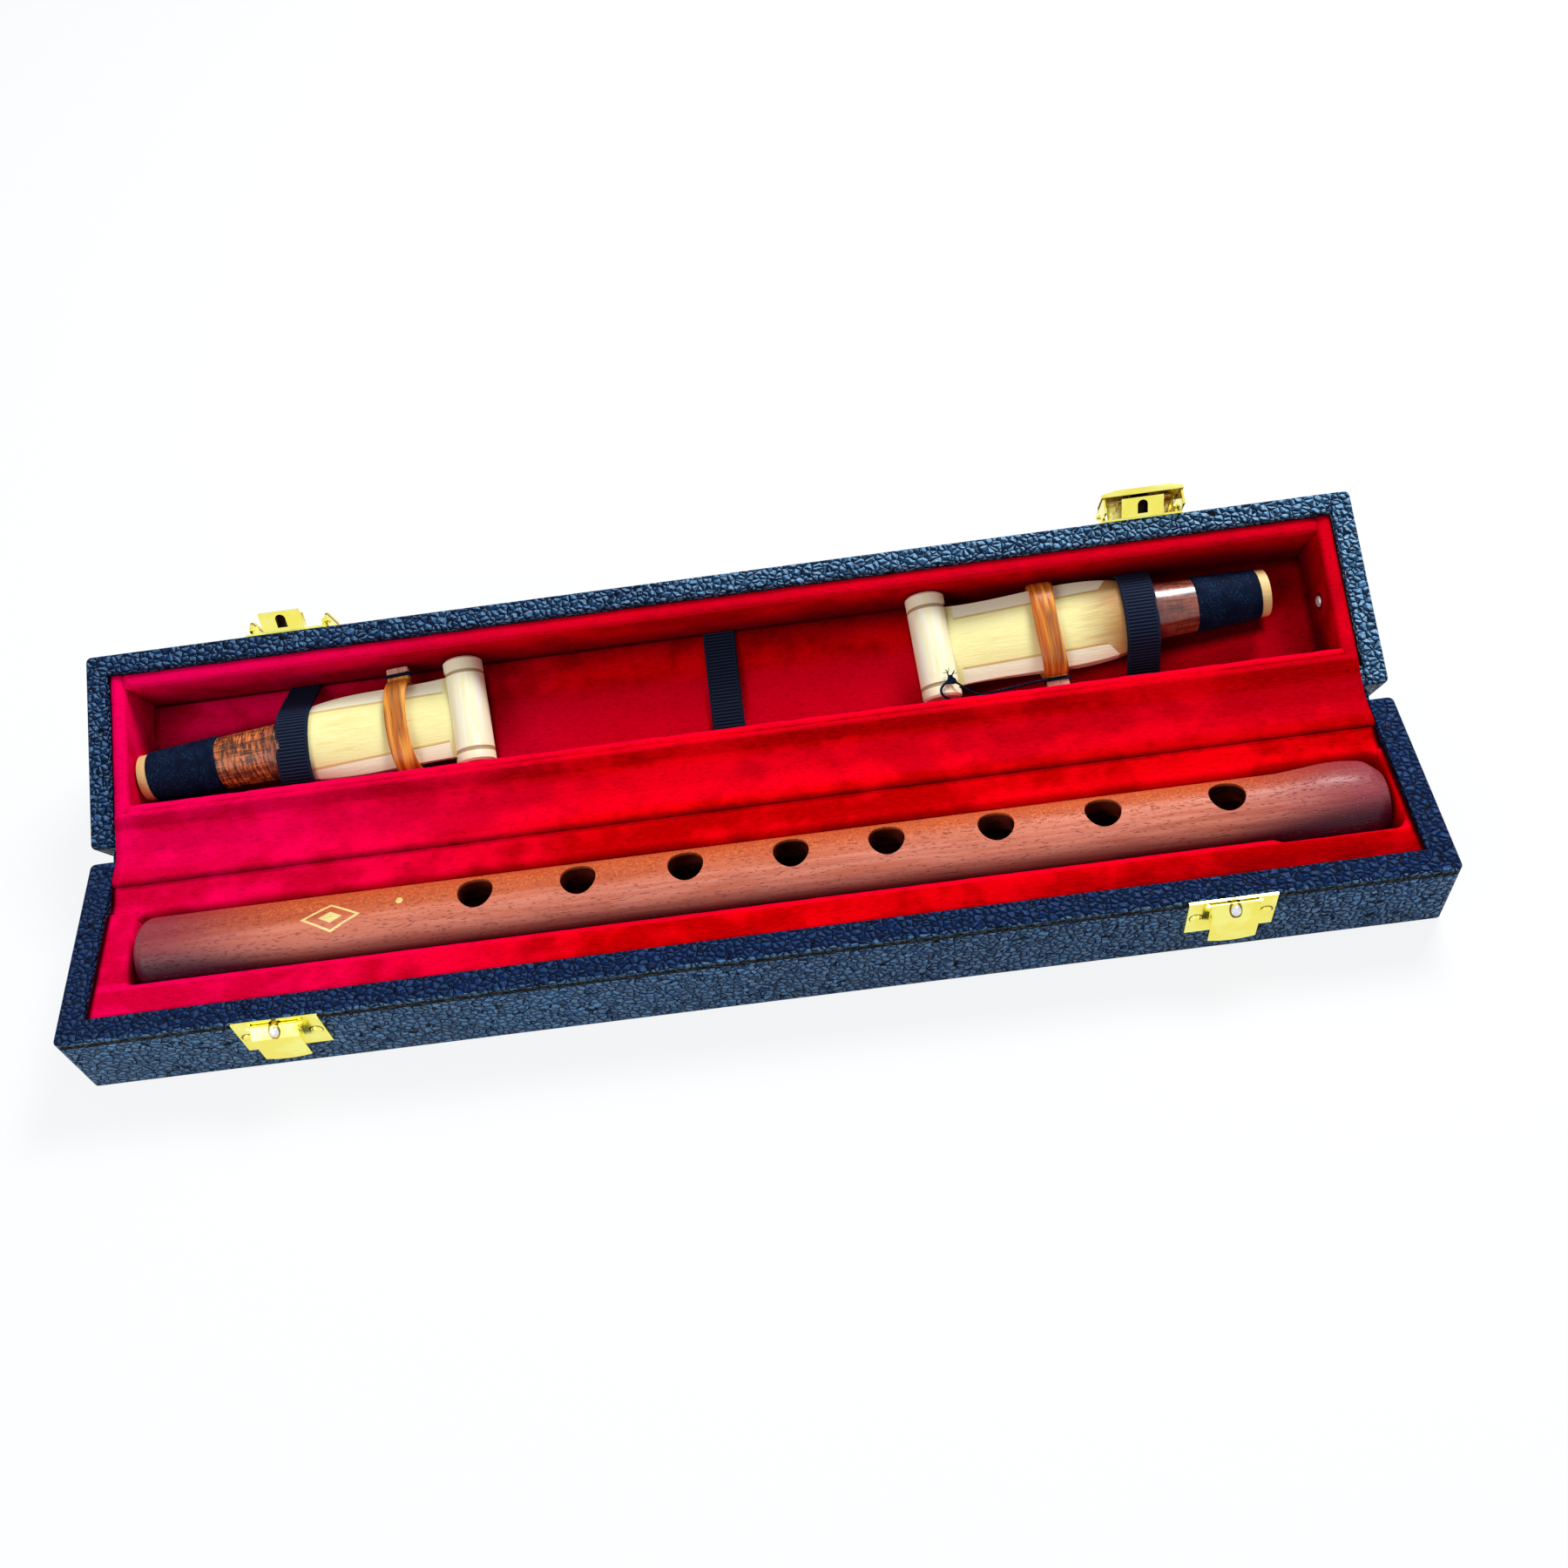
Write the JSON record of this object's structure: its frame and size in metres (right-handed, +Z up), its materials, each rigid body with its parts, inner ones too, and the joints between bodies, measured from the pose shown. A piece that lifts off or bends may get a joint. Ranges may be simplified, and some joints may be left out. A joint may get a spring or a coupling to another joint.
{
  "type": "cased double-reed flute set",
  "caption": "Straight wooden double-reed flute with finger holes and a bulbous head, in a hinged black case lined with crimson velvet, with spare reeds held by straps in the lid.",
  "frame": {"origin": "middle of the base's underside, on the table, with the case open", "axes": "+X along the case towards the flute's head, +Y from the case's front to its hinge, +Z up"},
  "size_m": [0.353, 0.1246, 0.055],
  "materials": {
    "leather_black": "grained",
    "board": "plain",
    "velvet_crimson": "pile",
    "flute_wood": "satin",
    "reed_cane": "satin",
    "bridle_cane": "satin",
    "cap_wood": "satin",
    "thread_black": "matte",
    "elastic_black": "ribbed",
    "latch_brass": "polished",
    "steel": "polished"
  },
  "bodies": {
    "case_base": {"base_board": "board", "base_leather": "leather_black", "channel_insert": "velvet_crimson", "hinge_leather": "leather_black", "hinge_velvet": "velvet_crimson", "latch_plate_left": "latch_brass", "latch_plate_right": "latch_brass", "latch_pins": "latch_brass", "latch_screws": "latch_brass"},
    "lid": {"lid_board": "board", "lid_leather": "leather_black", "lid_lining_front": "velvet_crimson", "lid_lining_rear": "velvet_crimson", "lid_lining_left": "velvet_crimson", "lid_lining_right": "velvet_crimson", "lid_floor_pad": "velvet_crimson", "lid_rivet": "steel", "reed_strap_left": "elastic_black", "reed_strap_middle": "elastic_black", "reed_strap_right": "elastic_black", "hasp_plate_left": "latch_brass", "hasp_plate_right": "latch_brass", "cover_pins": "latch_brass", "hasp_screws": "latch_brass"},
    "latch_lever_left": {"latch_lever_left": "latch_brass", "latch_stud_left": "steel"},
    "latch_lever_right": {"latch_lever_right": "latch_brass", "latch_stud_right": "steel"},
    "hasp_cover_left": {"hasp_cover_left": "latch_brass"},
    "hasp_cover_right": {"hasp_cover_right": "latch_brass"},
    "flute": {"flute_body": "flute_wood"},
    "reed_left": {"reed_left_cane": "reed_cane", "reed_left_thread": "thread_black"},
    "reed_right": {"reed_right_cane": "reed_cane", "reed_right_thread": "thread_black"},
    "bridle_left": {"reed_left_bridle": "bridle_cane", "reed_left_bridle_tie": "thread_black"},
    "bridle_right": {"reed_right_bridle": "bridle_cane", "reed_right_bridle_tie": "thread_black"},
    "cap_left": {"reed_left_cap": "cap_wood"},
    "cap_right": {"reed_right_cap": "cap_wood", "reed_right_tether": "thread_black"}
  },
  "joints": [
    {"name": "lid_hinge", "type": "hinge", "parent": "case_base", "child": "lid", "pos_m": [0, 0.0294, 0.0238], "axis": [-1, 0, 0], "range_deg": [-155.58, 0], "deforming": ["hinge_leather", "hinge_velvet"]},
    {"name": "latch_lever_left_press", "type": "hinge", "parent": "case_base", "child": "latch_lever_left", "pos_m": [-0.12002, -0.02885, 0.0219], "axis": [1, 0, 0], "range_deg": [0, 10], "stiffness_Nm_per_rad": 0.05},
    {"name": "latch_lever_right_press", "type": "hinge", "parent": "case_base", "child": "latch_lever_right", "pos_m": [0.12002, -0.02885, 0.0219], "axis": [1, 0, 0], "range_deg": [0, 10], "stiffness_Nm_per_rad": 0.05},
    {"name": "hasp_cover_left_swing", "type": "hinge", "parent": "lid", "child": "hasp_cover_left", "pos_m": [-0.12, 0.08672, 0.04389], "axis": [-1, 0, 0], "range_deg": [-180, 0]},
    {"name": "hasp_cover_right_swing", "type": "hinge", "parent": "lid", "child": "hasp_cover_right", "pos_m": [0.12, 0.08672, 0.04389], "axis": [-1, 0, 0], "range_deg": [0, 180]},
    {"name": "flute_lift", "type": "slide", "parent": "case_base", "child": "flute", "axis": [0, 0, 1], "range_m": [0, 0.05]},
    {"name": "reed_left_slide", "type": "slide", "parent": "lid", "child": "reed_left", "axis": [1, 0, 0], "range_m": [0, 0.052]},
    {"name": "reed_right_slide", "type": "slide", "parent": "lid", "child": "reed_right", "axis": [-1, 0, 0], "range_m": [0, 0.045]},
    {"name": "bridle_left_slide", "type": "slide", "parent": "reed_left", "child": "bridle_left", "axis": [0.9977, 0.0619, 0.0281], "range_m": [-0.003, 0.003]},
    {"name": "bridle_right_slide", "type": "slide", "parent": "reed_right", "child": "bridle_right", "axis": [-0.9991, -0.0381, -0.0173], "range_m": [-0.003, 0.003]},
    {"name": "cap_left_pull", "type": "slide", "parent": "reed_left", "child": "cap_left", "axis": [-0.9977, -0.0619, -0.0281], "range_m": [-0.01, 0]},
    {"name": "cap_right_pull", "type": "slide", "parent": "reed_right", "child": "cap_right", "axis": [0.9991, 0.0381, 0.0173], "range_m": [-0.01, 0], "deforming": ["reed_right_tether"]}
  ]
}
